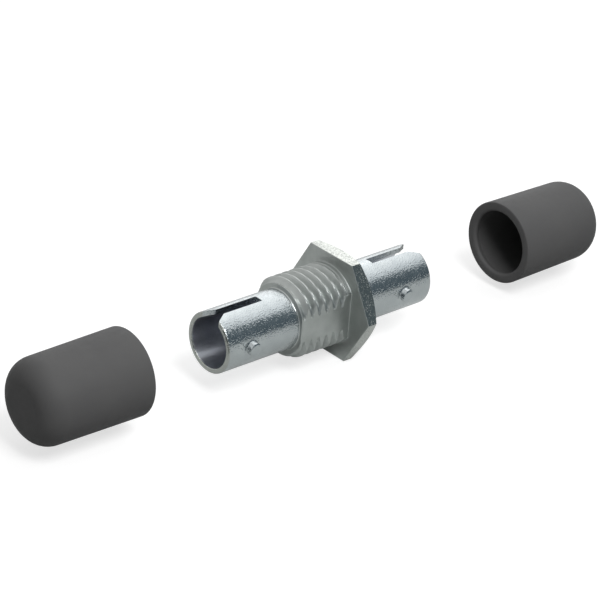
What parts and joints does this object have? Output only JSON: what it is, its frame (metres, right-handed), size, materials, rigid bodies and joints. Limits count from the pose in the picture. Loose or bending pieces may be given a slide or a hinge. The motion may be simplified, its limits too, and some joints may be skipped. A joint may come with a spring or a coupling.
{
  "type": "fibre optic adapter",
  "caption": "Metal bulkhead coupling for two bayonet fibre plugs: keyed barrels, hexagon and threaded shank with flats, split sleeve inside, and vinyl dust caps pulled off.",
  "frame": {"origin": "on the fibre axis, in the plane of the hexagon's flat front face, which seats on the panel", "axes": "+X along the fibre axis and out of the short rear barrel; +Z towards the keyways; the bayonet studs and the shank's flats face +Y and -Y"},
  "size_m": [0.0823, 0.0138, 0.012],
  "materials": {
    "plated_casting": "satin",
    "zirconia": "satin",
    "soft_vinyl": "matte"
  },
  "bodies": {
    "adapter": {"housing": "plated_casting", "rear_barrel": "plated_casting", "alignment_sleeve": "zirconia"},
    "front_cap": {"front_dust_cap": "soft_vinyl"},
    "rear_cap": {"rear_dust_cap": "soft_vinyl"}
  },
  "joints": [
    {"name": "front_cap_slide", "type": "slide", "parent": "adapter", "child": "front_cap", "axis": [1, 0, 0], "range_m": [-0.03, 0.02095]},
    {"name": "rear_cap_slide", "type": "slide", "parent": "adapter", "child": "rear_cap", "axis": [-1, 0, 0], "range_m": [-0.03, 0.02525]}
  ]
}
